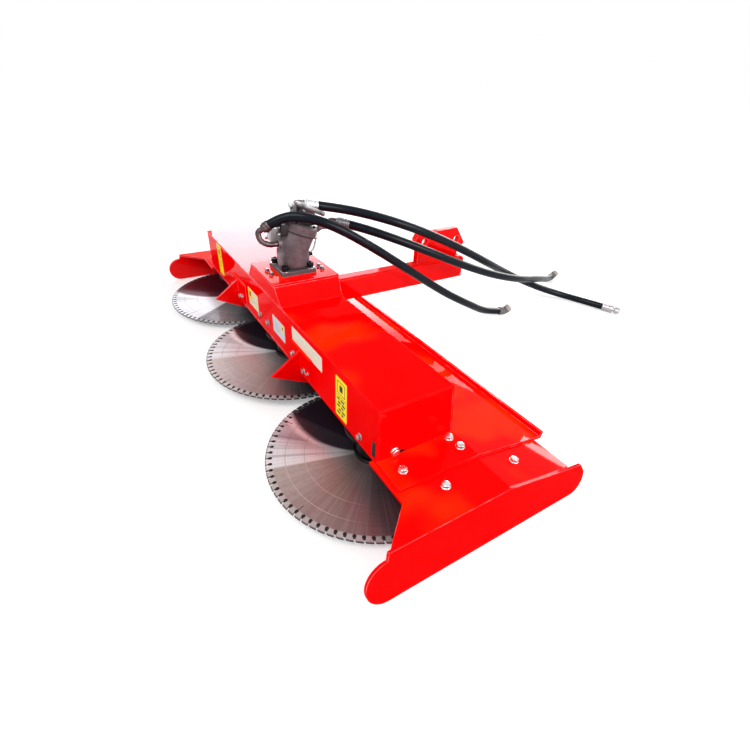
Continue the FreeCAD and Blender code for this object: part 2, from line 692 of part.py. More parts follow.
# Free ends: two capped elbows and one straight swivel nut.
for name, route, lift in (
        ("a", routeA, Vector(18, 24, 34)), ("b", routeB, Vector(10, 26, 34))):
    way = direction(route[-2], route[-1])
    bend = route[-1] + way * 30
    tube("hose_end_" + name, [route[-1], bend, bend + lift * 0.6], ferruleSize)
wayEnd = direction(routeC[-2], routeC[-1])
turned("hose_end_c", routeC[-1], wayEnd, [
    ("0", "0"),
    ("@ferrule_diameter / 2", "0"),
    ("@ferrule_diameter / 2", "@ferrule_length"),
    ("@pipe_diameter / 2", "@ferrule_length"),
    ("@pipe_diameter / 2", "@ferrule_length + 8"),
    ("@nut_flats / 2", "@ferrule_length + 8"),
    ("@nut_flats / 2", "@ferrule_length + 8 + @nut_length"),
    ("0", "@ferrule_length + 8 + @nut_length"),
])

doc.recompute()
faults = [item.Label for item in doc.Objects if {"Invalid", "Error"} & set(item.State)]
for piece in pieces:
    if piece.Shape.isNull() or not piece.Shape.isValid() or not piece.Shape.Solids:
        faults.append(piece.Label)
if faults:
    raise RuntimeError("faulty objects: " + ", ".join(faults))
os.makedirs("parts", exist_ok=True)
for piece in pieces:
    piece.Shape.exportStep("parts/" + piece.Label + ".step")
    print(piece.Label, len(piece.Shape.Solids), round(piece.Shape.Volume / 1000), "cm3")
print(len(pieces), "pieces")
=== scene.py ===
import bmesh
import bpy
import math
from mathutils import Matrix, Vector


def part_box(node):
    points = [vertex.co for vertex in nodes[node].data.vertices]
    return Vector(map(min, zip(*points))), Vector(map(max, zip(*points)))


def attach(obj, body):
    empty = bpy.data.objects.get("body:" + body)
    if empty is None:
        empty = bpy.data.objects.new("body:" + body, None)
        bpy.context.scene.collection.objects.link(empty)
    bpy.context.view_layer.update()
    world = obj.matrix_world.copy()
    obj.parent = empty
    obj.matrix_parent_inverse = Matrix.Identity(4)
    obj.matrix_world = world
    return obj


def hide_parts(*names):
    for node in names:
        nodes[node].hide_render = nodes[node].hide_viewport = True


# Tree trimmer saw head, parked on its two skids: paint, steel, castings, hoses and small hardware
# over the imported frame. Metres, +Z up, +X along the beam, -Y towards the cut.

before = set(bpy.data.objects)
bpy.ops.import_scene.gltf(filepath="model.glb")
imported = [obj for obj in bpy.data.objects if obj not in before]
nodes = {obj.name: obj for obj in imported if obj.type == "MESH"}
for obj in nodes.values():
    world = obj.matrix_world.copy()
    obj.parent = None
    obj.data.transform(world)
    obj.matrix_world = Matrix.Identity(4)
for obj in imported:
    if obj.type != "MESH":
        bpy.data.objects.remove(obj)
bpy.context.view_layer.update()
print("frame loaded,", len(nodes), "nodes")


# the Mix node's colour sockets, by number because their names repeat
mixSockets = {"first": 6, "second": 7, "result": 2}


# shader helper: one wrapped socket, with Python operators for the maths nodes
class Shade:
    def __init__(self, tree, socket=None):
        self.tree = tree
        self.socket = socket

    def node(self, kind, settings=None, values=None, out=0):
        made = self.tree.nodes.new(kind)
        for key, value in (settings or {}).items():
            if key == "stops":
                ramp = made.color_ramp
                while len(ramp.elements) < len(value):
                    ramp.elements.new(0.5)
                for stop, (place, colour) in zip(ramp.elements, value):
                    stop.position = place
                    stop.color = colour
            else:
                setattr(made, key, value)
        for key, value in (values or {}).items():
            target = made.inputs[key]
            if isinstance(value, Shade):
                self.tree.links.new(value.socket, target)
            else:
                target.default_value = value
        return Shade(self.tree, made.outputs[out])

    def maths(self, operation, *parts):
        return self.node("ShaderNodeMath", {"operation": operation}, dict(enumerate(parts)))

    def __add__(self, other):
        return self.maths("ADD", self, other)

    def __radd__(self, other):
        return self.maths("ADD", other, self)

    def __sub__(self, other):
        return self.maths("SUBTRACT", self, other)

    def __rsub__(self, other):
        return self.maths("SUBTRACT", other, self)

    def __mul__(self, other):
        return self.maths("MULTIPLY", self, other)

    def __rmul__(self, other):
        return self.maths("MULTIPLY", other, self)

    def __truediv__(self, other):
        return self.maths("DIVIDE", self, other)

    def __pow__(self, other):
        return self.maths("POWER", self, other)

    def __lt__(self, other):
        return self.maths("LESS_THAN", self, other)

    def __gt__(self, other):
        return self.maths("GREATER_THAN", self, other)

    def soft(self, low, high):
        return self.node("ShaderNodeMapRange", {"interpolation_type": "SMOOTHSTEP"},
                         {"Value": self, "From Min": low, "From Max": high})

    def mix(self, first, second):
        first, second = (
            part if isinstance(part, Shade) else (*part, 1.0) for part in (first, second))
        return self.node("ShaderNodeMix", {"data_type": "RGBA", "clamp_factor": True}, {
            "Factor": self, mixSockets["first"]: first, mixSockets["second"]: second},
            mixSockets["result"])

    def noise(self, scale, detail=3.0, rough=0.5):
        return self.node("ShaderNodeTexNoise", {}, {
            "Vector": self, "Scale": scale, "Detail": detail, "Roughness": rough})

    def axis(self, index):
        return self.node("ShaderNodeSeparateXYZ", {}, {0: self}, index)

    def normal(self):
        return self.node("ShaderNodeNewGeometry", {}, {}, "Normal")

    # 0 on flat faces, rising on corners that a fillet of this radius would round
    def corners(self, radius):
        rounded = self.node("ShaderNodeBevel", {"samples": 6}, {"Radius": radius})
        return 1.0 - self.node("ShaderNodeVectorMath", {"operation": "DOT_PRODUCT"},
                               {0: rounded, 1: self.normal()}, "Value")

    # 0 to 1 over the rising span, back to 0 over the falling one
    def band(self, rising, falling):
        return self.soft(*rising) * (1.0 - self.soft(*falling))


materials = {}


def newMaterial(name, fixed, centre=(0, 0, 0)):
    made = bpy.data.materials.new(name)
    made.use_nodes = True
    tree = made.node_tree
    surface = tree.nodes["Principled BSDF"]
    for key, value in fixed.items():
        surface.inputs[key].default_value = value
    place = Shade(tree).node("ShaderNodeTexCoord", {}, {}, "Object")
    if any(centre):
        place = place.node("ShaderNodeVectorMath", {"operation": "SUBTRACT"}, {0: place, 1: centre})
    materials[name] = made
    return surface, place


def feed(surface, **links):
    names = {"colour": "Base Color", "roughness": "Roughness", "metallic": "Metallic",
             "coat": "Coat Weight", "glow": "Emission Color", "normal": "Normal"}
    for key, value in links.items():
        value.tree.links.new(value.socket, surface.inputs[names[key]])


def bump(height, strength, distance):
    return height.node("ShaderNodeBump", {}, {
        "Height": height, "Strength": strength, "Distance": distance})


# gloss red paint: faint orange peel, a painted warm reflection where it looks up, pale edges that
# are partly wear and partly painted highlight, painted shade in black underneath.
# Its zones are in metres along the beam (east) and across it (north).
paint = {
    "colour": (0.94, 0.0006, 0.0008), "deep": (0.82, 0.0004, 0.0008), "reflectedWarm": (0.95, 0.017, 0.001),
    "edge": (0.95, 0.42, 0.48), "under": (0.012, 0.010, 0.011),
    "coat": 0.045, "wax": 0.36, "slopeWax": 0.12, "filmLoss": 0.03, "underLoss": 0.8,
    "roughness": 0.36, "grit": 0.12, "peelScale": 240.0, "peel": 0.035,
    "cornerRadius": 0.0022, "corner": (0.01, 0.10),
    "chips": 0.55, "wearAndHighlightAmount": 0.10, "farEdgeHighlight": 0.55,
    "polishEast": (-0.30, 0.27),          # waxed to the first, plain from the second
    "calmEast": ((0.10, 0.45), (0.86, 0.885)), "calmNorth": (-0.12, -0.06), "calm": 0.92,
    "flangeNorth": (-0.3225, -0.3165),    # finger flanges, whose edges stay red
    "slopeTilt": (0.10, 0.15), "slopeFacing": (0.90, 0.96), "slopeEast": (0.30, 0.60),
}


def redPaint(name, underside=False):
    surface, place = newMaterial(name, {
        "IOR": 1.5, "Specular IOR Level": 0.0, "Coat Roughness": 0.03, "Coat IOR": 1.5})
    east, north = place.axis(0), place.axis(1)
    flat = place.normal()
    facing = flat.axis(2)
    drift = place.noise(2.3, 4.0).soft(0.35, 0.7)
    fine = place.noise(38.0, 5.0, 0.6).soft(0.35, 0.8)
    film = place.noise(7.0, 3.0).soft(0.5, 0.8)
    # painted warm reflection: orange-red in soft patches on faces that look up
    warmReflection = facing.soft(0.6, 0.95) * place.noise(4.6, 2.0).soft(0.46, 0.62)
    # pale edge lines over the fillets: partly wear and chips, partly painted highlight; the far end
    # gets more painted highlight, and calm zones and flange edges get less
    chipped = place.noise(30.0, 4.0).soft(0.38, 0.66) * paint["chips"]
    polished = 1.0 - east.soft(*paint["polishEast"])
    wearAndHighlightAmount = chipped + paint["wearAndHighlightAmount"] + polished * paint["farEdgeHighlight"]
    wearAndEdgeHighlight = place.corners(paint["cornerRadius"]).soft(*paint["corner"]) * wearAndHighlightAmount
    calm = east.band(*paint["calmEast"]) * (1.0 - north.soft(*paint["calmNorth"]))
    flange = (north > paint["flangeNorth"][0]) * (north < paint["flangeNorth"][1])
    wearAndEdgeHighlight = wearAndEdgeHighlight * (1.0 - calm.maths("MAXIMUM", calm * paint["calm"], flange))
    colour = (drift * 0.5).mix(paint["colour"], paint["deep"])
    colour = warmReflection.mix(colour, paint["reflectedWarm"])
    colour = wearAndEdgeHighlight.mix(colour, paint["edge"])
    slanted = (flat.axis(1).soft(*paint["slopeTilt"]) * facing.soft(*paint["slopeFacing"])
               * east.soft(*paint["slopeEast"]))
    coat = polished * paint["wax"] + slanted * paint["slopeWax"] + paint["coat"]
    coat = coat - film * paint["filmLoss"]
    # painted shade: faces that look down are painted near-black, with little coat
    if underside:
        below = (0.0 - facing).soft(0.35, 0.75)
        colour = below.mix(colour, paint["under"])
        coat = coat * (1.0 - below * paint["underLoss"])
    feed(surface, colour=colour, roughness=fine * paint["grit"] + paint["roughness"], coat=coat,
         normal=bump(place.noise(paint["peelScale"], 1.0), paint["peel"], 0.002))


redPaint("redGloss")
redPaint("redOverPaintedShade", underside=True)
print("paint ready")

# camera on the near right of the beam, looking down along it
lens = {"place": (1.35777, -0.74617, 0.91046), "turn": 56.77, "down": 34.19, "roll": 3.06,
        "length": 21.42, "sensor": 36.0}


def makeCamera():
    turn, down, roll = (math.radians(lens[key]) for key in ("turn", "down", "roll"))
    back = Vector((math.sin(turn) * math.cos(down), -math.cos(turn) * math.cos(down),
                   math.sin(down)))
    right = Vector((math.cos(turn), math.sin(turn), 0))
    up = back.cross(right)
    across = math.cos(roll) * right + math.sin(roll) * up
    above = math.cos(roll) * up - math.sin(roll) * right
    data = bpy.data.cameras.new("camera")
    data.lens = lens["length"]
    data.sensor_width = lens["sensor"]
    camera = bpy.data.objects.new("camera", data)
    bpy.context.scene.collection.objects.link(camera)
    turned = Matrix((across, above, back)).transposed().to_4x4()
    camera.matrix_world = Matrix.Translation(lens["place"]) @ turned
    bpy.context.scene.camera = camera


makeCamera()

# hoses: each runs from its ferrule over the hood, sags and comes to rest on the ground
hoses = {
    "a": {
        "length": 1.197,
        "ends": ("ferrule_a_crimped", "hose_end_a", "end_collar_a", "end_dome_a"),
        "points": [
            (-6, -275, 502), (13, -234, 529), (50, -179, 531), (78, -115, 511), (93, -41, 472),
            (103, 41, 421), (107, 128, 364), (107, 219, 303), (104, 310, 242), (102, 402, 183),
            (102, 487, 135), (94, 562, 94), (79, 628, 57), (72, 692, 31), (82, 754, 22)]},
    "b": {
        "length": 1.457,
        "ends": ("ferrule_b_crimped", "hose_end_b", "end_collar_b", "end_dome_b"),
        "points": [
            (-7, 9, 472), (25, 57, 460), (57, 119, 439), (86, 203, 407), (109, 302, 365),
            (123, 402, 322), (132, 503, 281), (135, 605, 243), (133, 709, 210), (118, 806, 181),
            (87, 895, 154), (57, 983, 128), (25, 1068, 102), (-12, 1144, 75), (-44, 1206, 51),
            (-72, 1263, 32), (-98, 1321, 24)]},
    "c": {
        "length": 1.620,
        "ends": ("ferrule_c_crimped", "hose_end_c_crimped", "swivel_nut"),
        "points": [
            (-6, -111, 546), (3, -32, 532), (43, 56, 514), (89, 156, 485), (106, 277, 438),
            (100, 396, 384), (94, 513, 326), (80, 629, 267), (42, 739, 213), (10, 851, 158),
            (24, 966, 102), (54, 1069, 60), (96, 1152, 33), (154, 1207, 21), (218, 1243, 17),
            (272, 1261, 18)]},
}
hoseShape = {"diameter": 0.030, "sides": 6, "steps": 10}


def makeHose(key, facts):
    points = [Vector(point) / 1000 for point in facts["points"]]
    data = bpy.data.curves.new("hose_line_" + key, "CURVE")
    data.dimensions = "3D"
    data.bevel_depth = hoseShape["diameter"] / 2
    data.bevel_resolution = hoseShape["sides"]
    data.resolution_u = hoseShape["steps"]
    data.use_fill_caps = True
    spline = data.splines.new("NURBS")
    spline.points.add(len(points) - 1)
    for knot, point in zip(spline.points, points):
        knot.co = (*point, 1.0)
    spline.order_u = 3
    spline.use_endpoint_u = True
    hose = bpy.data.objects.new("rubber_hose_" + key, data)
    bpy.context.scene.collection.objects.link(hose)
    hose.data.materials.append(materials["hoseRubber"])
    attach(hose, "head")
    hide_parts("hose_" + key)


# black rubber cover: fine wrapped weave under a satin skin, with a pale painted highlight on top
# towards the ends
rubber = {
    "cover": (0.0022, 0.0040, 0.0075), "dusty": (0.006, 0.008, 0.012), "topHighlight": (0.50, 0.47, 0.45),
    "roughness": 0.30, "grit": 0.14, "weave": 0.10,
    "upward": (0.62, 0.97), "topHighlightNorth": (0.0, 0.8),
    "noHighlightEast": (0.03, 0.09), "noHighlightNorth": (0.90, 1.0),    # hose c's end gets no painted highlight
}


def hoseRubber():
    surface, place = newMaterial("hoseRubber", {
        "IOR": 1.45, "Specular IOR Level": 0.10, "Coat Weight": 0.10, "Coat Roughness": 0.12})
    east, north = place.axis(0), place.axis(1)
    wrap = place.noise(420.0, 2.0)
    dust = place.noise(26.0, 5.0, 0.65).soft(0.45, 0.8)
    noHighlight = east.soft(*rubber["noHighlightEast"]) * north.soft(*rubber["noHighlightNorth"])
    upward = place.normal().axis(2).soft(*rubber["upward"])
    # painted highlight: pale tops of the hoses towards their ends, flecked by the dust noise
    topHighlight = upward * north.soft(*rubber["topHighlightNorth"]) * (1.0 - noHighlight)
    body = dust.mix(rubber["cover"], rubber["dusty"])
    feed(surface, colour=(topHighlight * (dust * 0.3 + 0.6)).mix(body, rubber["topHighlight"]),
         roughness=dust * rubber["grit"] + rubber["roughness"],
         normal=bump(wrap, rubber["weave"], 0.001))


hoseRubber()


# blade fans of painted reflection, as shares of half a turn about the spindle: colour stops, where
# the pale and the tan fan open and close, the dark painted-shade sector's edge and how it bends
# outwards, and how matt the fans are
reflectionFans = {
    "near": {"pale": (0.16, 0.18, 0.412, 0.424), "tan": (0.412, 0.424, 0.62, 0.85), "matt": 0.10,
             "shade": (0.40, 0.83), "stops": [
        (0.0, (0.045, 0.026, 0.042)), (0.148, (0.045, 0.026, 0.042)), (0.165, (0.80, 0.80, 0.83)),
        (0.27, (0.40, 0.35, 0.40)), (0.31, (0.78, 0.77, 0.81)), (0.412, (0.80, 0.76, 0.78)),
        (0.424, (0.45, 0.36, 0.33)), (0.62, (0.28, 0.17, 0.16)), (0.85, (0.13, 0.08, 0.09)),
        (1.0, (0.045, 0.026, 0.042))]},
    "mid": {"pale": (0.16, 0.18, 0.40, 0.43), "tan": (0.412, 0.424, 0.62, 0.85), "matt": 0.50,
            "shade": (0.40, 0.83), "stops": [
        (0.0, (0.045, 0.026, 0.042)), (0.148, (0.045, 0.026, 0.042)), (0.165, (0.82, 0.88, 0.93)),
        (0.25, (0.44, 0.44, 0.49)), (0.30, (0.82, 0.86, 0.90)), (0.40, (0.80, 0.80, 0.84)),
        (0.43, (0.56, 0.49, 0.47)), (0.66, (0.40, 0.31, 0.30)), (0.85, (0.17, 0.12, 0.12)),
        (1.0, (0.045, 0.026, 0.042))]},
    "far": {"pale": (0.30, 0.32, 0.68, 0.695), "tan": (0.68, 0.695, 0.9, 0.99), "matt": 0.40,
            "shade": (0.53, 0.66), "stops": [
        (0.0, (0.040, 0.014, 0.028)), (0.20, (0.080, 0.016, 0.036)), (0.30, (0.17, 0.05, 0.08)),
        (0.325, (0.80, 0.84, 0.88)), (0.42, (0.50, 0.52, 0.56)), (0.50, (0.80, 0.86, 0.92)),
        (0.68, (0.88, 0.92, 0.97)), (0.70, (0.16, 0.15, 0.17)), (0.86, (0.20, 0.20, 0.22)),
        (1.0, (0.06, 0.05, 0.06))]},
}

# what all three blades share, radii in metres
steel = {
    "reflectionStreak": (0.90, 0.88, 0.92), "gap": (0.20, 0.14, 0.17), "turned": (0.24, 0.20, 0.20),
    "mottle": (0.16, 0.12, 0.11), "glint": (0.96, 0.94, 0.98), "hub": (0.05, 0.045, 0.05),
    "land": (0.80, 0.79, 0.80), "rim": (0.05, 0.05, 0.055), "wall": (0.010, 0.010, 0.011),
    "scribePale": (0.16, 0.10, 0.13), "scribeDark": (0.66, 0.50, 0.46),
    "rays": 22.0, "grooves": 900.0, "scribed": (0.247, 0.195), "scribeWidth": 6e-7,
    "landFrom": (0.280, 0.284), "rimFrom": (0.2972, 0.2982), "hubRadius": 0.11,
    "metal": 0.72, "roughness": 0.25,
}


def spread(place):
    east, north = place.axis(0), place.axis(1)
    return east, north, (east * east + north * north) ** 0.5


# turned blade steel: fans of painted reflection with painted streaks, painted shade and a painted
# glint along the hood's edge, two scribed circles, pale tooth lands, dark gullet walls
def bladeSteel(name, centre, facts):
    surface, place = newMaterial(name, {
        "Anisotropic": 0.75, "Anisotropic Rotation": 0.25, "IOR": 1.6}, centre)
    east, north, radius = spread(place)
    angle = north.maths("ARCTAN2", north, east)
    turn = angle.maths("FRACT", angle / math.pi + 1.0)
    reflectionFan = turn.node("ShaderNodeValToRGB", {
        "stops": [(stop, (*tint, 1)) for stop, tint in facts["stops"]]}, {"Fac": turn})
    opened, full, fading, gone = facts["pale"]
    pale = turn.band((opened, full), (fading, gone))
    opened, full, fading, gone = facts["tan"]
    tan = turn.band((opened, full), (fading, gone))
    # painted shade of the hood over the blade's inner side, bending outwards, with a painted glint
    # just past its edge
    edge, bend = facts["shade"]
    bent = radius * bend + turn
    shaded = 1.0 - bent.soft(edge - 0.014, edge + 0.010)
    glint = bent.band((edge + 0.004, edge + 0.016), (edge + 0.02, edge + 0.05)) * pale
    rays = angle.node("ShaderNodeCombineXYZ", {}, {
        0: angle * steel["rays"], 1: radius * 1.5, 2: 0.0}).noise(1.0, 4.0, 0.62)
    lines = angle.node("ShaderNodeCombineXYZ", {}, {
        0: radius * steel["grooves"], 1: angle * 0.6, 2: 0.0}).noise(1.0, 2.0)
    outer, inner = (radius - circle for circle in steel["scribed"])
    scribed = outer.maths("MINIMUM", outer * outer, inner * inner) < steel["scribeWidth"]
    rim = radius.soft(*steel["rimFrom"])
    land = radius.soft(*steel["landFrom"])
    upright = place.normal().axis(2)
    wall = upright * upright < 0.3
    mottled = place.noise(80.0, 5.0, 0.7).soft(0.45, 0.8)
    # painted reflection streaks along the rays in the pale fans, with darker gaps between them
    body = (rays.soft(0.42, 0.66) * (pale * 0.3 + 0.07)).mix(reflectionFan, steel["reflectionStreak"])
    body = ((1.0 - rays).soft(0.50, 0.70) * (pale * 0.4 + 0.05)).mix(body, steel["gap"])
    body = (lines.soft(0.3, 0.7) * 0.22).mix(body, steel["turned"])
    body = (mottled * tan * 0.35).mix(body, steel["mottle"])
    body = (glint * radius.soft(0.08, 0.2) * 0.85).mix(body, steel["glint"])
    body = (shaded * 0.94).mix(body, facts["stops"][1][1])
    body = ((steel["hubRadius"] - radius).soft(0.0, 0.06) * 0.6).mix(body, steel["hub"])
    body = (land * (0.30 - shaded * 0.2)).mix(body, steel["land"])
    body = (rim * 0.8).mix(body, steel["rim"])
    scribe = pale.mix(steel["scribeDark"], steel["scribePale"])
    body = (scribed * (pale + tan) * 0.6).mix(body, scribe)
    body = wall.mix(body, steel["wall"])
    matt = pale * (1.0 - shaded) * facts["matt"] + tan * facts["matt"] * 0.5
    feed(surface, colour=body, roughness=lines * 0.12 + land * 0.1 + steel["roughness"],
         metallic=steel["metal"] - wall * 0.6 - matt,
         normal=bump(lines - scribed * 0.6, 0.10, 0.0006))


# dark turned hub steel: fine rings about the spindle
hub = {"bright": (0.060, 0.060, 0.064), "dull": (0.03, 0.03, 0.03), "rings": 5200.0,
       "roughness": 0.32}


def hubSteel(name, centre):
    surface, place = newMaterial(name, {}, centre)
    radius = spread(place)[2]
    rings = radius.maths("SINE", radius * hub["rings"])
    wear = place.noise(60.0, 4.0, 0.6).soft(0.4, 0.75)
    feed(surface, colour=wear.mix(hub["bright"], hub["dull"]),
         roughness=wear * 0.2 + hub["roughness"], metallic=1.0 - wear * 0.1,
         normal=bump(rings, 0.05, 0.0004))


# cast metal: sand-cast grain, oily patches, corners worn bright; painted shade darkening the near
# back side
castings = {
    "castIron": {"light": (0.36, 0.31, 0.33), "dark": (0.066, 0.040, 0.048)},
    "flangeIron": {"light": (0.19, 0.165, 0.18), "dark": (0.060, 0.050, 0.056),
                   "shine": 0.4, "wearAndEdgeHighlight": 0.6},
    "blackIron": {"light": (0.016, 0.014, 0.016), "dark": (0.007, 0.006, 0.007),
                  "shine": 0.3, "wearAndEdgeHighlight": 0.25, "speck": (0.05, 0.04, 0.045)},
    "slotShade": {"light": (0.006, 0.005, 0.005), "dark": (0.003, 0.003, 0.003),
                  "shine": 0.0, "wearAndEdgeHighlight": 0.0, "speck": (0.012, 0.010, 0.010)},
    "paleCasting": {"light": (0.88, 0.88, 0.88), "dark": (0.62, 0.62, 0.63),
                    "shine": 0.35, "wearAndEdgeHighlight": 0.2},
    "endCap": {"light": (0.17, 0.165, 0.16), "dark": (0.10, 0.095, 0.09),
               "shine": 0.1, "wearAndEdgeHighlight": 0.2},
    "endPale": {"light": (0.52, 0.48, 0.47), "dark": (0.36, 0.32, 0.31),
                "shine": 0.1, "wearAndEdgeHighlight": 0.3},
}
cast = {"shine": 0.5, "wearAndEdgeHighlight": 0.3, "speck": (0.24, 0.20, 0.21), "corner": (0.55, 0.52, 0.53),
        "cornerRadius": 0.0016, "shadeOffset": 0.19, "away": (-0.10, 0.01), "roughness": 0.34}


def castMetal(name, facts):
    facts = {**cast, **facts}
    surface, place = newMaterial(name, {"IOR": 1.5, "Specular IOR Level": 0.35})
    grain = place.noise(330.0, 4.0, 0.65)
    patch = place.noise(22.0, 4.0, 0.6).soft(0.38, 0.66)
    pits = place.node("ShaderNodeTexVoronoi", {"feature": "F1"}, {"Vector": place, "Scale": 420.0})
    # painted shade: darker towards the near back side
    away = (place.axis(0) + place.axis(1) + facts["shadeOffset"]).soft(*facts["away"])
    corner = place.corners(facts["cornerRadius"]).soft(0.01, 0.12)
    body = patch.mix(facts["light"], facts["dark"])
    body = (away * 0.82).mix(body, facts["dark"])
    body = (grain.soft(0.5, 0.72) * 0.4).mix(body, facts["speck"])
    body = (corner * facts["wearAndEdgeHighlight"]).mix(body, facts["corner"])
    feed(surface, colour=body, roughness=grain * 0.3 + facts["roughness"],
         metallic=facts["shine"] - patch * 0.3, normal=bump(grain + pits * 0.5, 0.5, 0.0014))


# plated, oiled or painted steel of pipes, ferrules, bolts and housings: spangle and dull stains
platings = {
    "zincBright": {"bright": (0.74, 0.74, 0.75), "dull": (0.36, 0.36, 0.37), "roughness": 0.16},
    "zincDark": {"bright": (0.26, 0.25, 0.26), "dull": (0.09, 0.085, 0.09), "roughness": 0.26},
    "zincWorn": {"bright": (0.50, 0.49, 0.50), "dull": (0.22, 0.21, 0.22), "roughness": 0.24},
    "oilySteel": {"bright": (0.115, 0.085, 0.088), "dull": (0.045, 0.030, 0.032),
                  "roughness": 0.28},
    "blackPaint": {"bright": (0.020, 0.020, 0.022), "dull": (0.010, 0.010, 0.010),
                   "roughness": 0.4},
    "blackBolt": {"bright": (0.018, 0.018, 0.020), "dull": (0.006, 0.006, 0.006),
                  "roughness": 0.34},
}


def platedSteel(name, facts):
    surface, place = newMaterial(name, {})
    spangle = place.noise(140.0, 3.0, 0.6)
    stain = place.noise(34.0, 4.0, 0.6).soft(0.45, 0.75)
    feed(surface, colour=stain.mix(facts["bright"], facts["dull"]),
         roughness=spangle * 0.16 + facts["roughness"],
         metallic=1.0 - stain * 0.25, normal=bump(spangle, 0.12, 0.0006))


for name, facts in castings.items():
    castMetal(name, facts)
for name, facts in platings.items():
    platedSteel(name, facts)
for side, facts in reflectionFans.items():
    low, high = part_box("saw_blade_" + side)
    bladeSteel("bladeSteel_" + side, (low + high) / 2, facts)
    hubSteel("hubSteel_" + side, (low + high) / 2)
print("materials ready")


def dress(name, material):
    slots = nodes[name].data.materials
    if not slots:
        slots.append(None)
    for index in range(len(slots)):
        slots[index] = materials[material]


finishes = {
    "redOverPaintedShade": ["base_plate"],
    "blackPaint": ["spindle_housing_near", "spindle_housing_mid", "spindle_housing_far"],
    "redGloss": [
        "hood_cover", "front_panel", "hood_end_near", "hood_end_far",
        "end_shoe_near", "end_shoe_far", "finger_near", "finger_far", "motor_stand",
        "stand_top_plate", "arm_tube", "arm_end_cap", "arm_ear"],
    "castIron": ["motor_body", "motor_cap"],
    "flangeIron": ["motor_flange"],
    "oilySteel": ["elbow_a", "elbow_b"],
    "zincDark": ["elbow_c"],
    "endCap": ["hose_end_a", "hose_end_b"],
}
for side in reflectionFans:
    finishes["bladeSteel_" + side] = ["saw_blade_" + side]
    finishes["hubSteel_" + side] = ["spindle_" + side, "blade_clamp_" + side]
for finish, names in finishes.items():
    for name in names:
        dress(name, finish)
print("nodes dressed")


# modelling helpers: a primitive is shaped in edit mode, then its place is put into its mesh
def clearSelection():
    if bpy.context.object and bpy.context.object.mode != "OBJECT":
        bpy.ops.object.mode_set(mode="OBJECT")
    bpy.ops.object.select_all(action="DESELECT")


def startPiece(name, kind, **how):
    clearSelection()
    getattr(bpy.ops.mesh, "primitive_" + kind + "_add")(**how)
    piece = bpy.context.object
    piece.name = name
    piece.data.name = name
    bpy.ops.object.transform_apply(location=True, rotation=True, scale=True)
    return piece


def pick(piece, wanted, kind="FACE"):
    bpy.ops.object.mode_set(mode="EDIT")
    bpy.ops.mesh.select_mode(type=kind)
    bpy.ops.mesh.select_all(action="DESELECT")
    shape = bmesh.from_edit_mesh(piece.data)
    for item in shape.faces if kind == "FACE" else shape.edges:
        if wanted(item):
            item.select_set(True)
    shape.select_flush_mode()
    bmesh.update_edit_mesh(piece.data)


def leaveEdit():
    bpy.ops.object.mode_set(mode="OBJECT")


# edges sharper than the first angle are bevelled, flatter than the second shaded smooth
edgeAngles = {"bevel": 30, "smooth": 35}


def bevelled(piece, width, segments=2):
    made = piece.modifiers.new("edges", "BEVEL")
    made.width = width
    made.segments = segments
    made.limit_method = "ANGLE"
    made.angle_limit = math.radians(edgeAngles["bevel"])
    clearSelection()
    bpy.context.view_layer.objects.active = piece
    piece.select_set(True)
    bpy.ops.object.modifier_apply(modifier=made.name)
    bpy.ops.object.shade_smooth_by_angle(angle=math.radians(edgeAngles["smooth"]))
    return piece


def finishPiece(piece, body, finish, stands=()):
    piece.data.materials.clear()
    piece.data.materials.append(materials[finish])
    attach(piece, body)
    if stands:
        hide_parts(*stands)


# a turned or hexagonal shape grown along Z, ring by ring, from millimetres
def grown(name, sides, profile):
    level, radius = profile[0]
    piece = startPiece(name, "circle", vertices=sides, radius=radius / 1000, fill_type="NGON",
                       location=(0, 0, level / 1000))
    pick(piece, lambda face: True)
    for height, wide in profile[1:]:
        rise = (0, 0, (height - level) / 1000)
        bpy.ops.mesh.extrude_region_move(TRANSFORM_OT_translate={"value": rise})
        bpy.ops.transform.resize(value=(wide / radius, wide / radius, 1),
                                 center_override=(0, 0, height / 1000))
        level, radius = height, wide
    closeUp()
    return piece


def closeUp():
    bpy.ops.mesh.select_all(action="SELECT")
    bpy.ops.mesh.normals_make_consistent(inside=False)
    leaveEdit()


def pointed(place, way, spin=0.0):
    turned = Vector(way).to_track_quat("Z", "Y").to_matrix().to_4x4()
    return Matrix.Translation(place) @ turned @ Matrix.Rotation(math.radians(spin), 4, "Z")


def copied(master, name, matrix):
    piece = bpy.data.objects.new(name, master.data.copy())
    piece.data.name = name
    piece.data.transform(matrix)
    bpy.context.scene.collection.objects.link(piece)
    return piece


upWay = (0, 0, 1)
frontWay = (0, -1, 0)
endWay = (1, 0, 0)
slopeWay = (0, math.sin(math.radians(10)), math.cos(math.radians(10)))

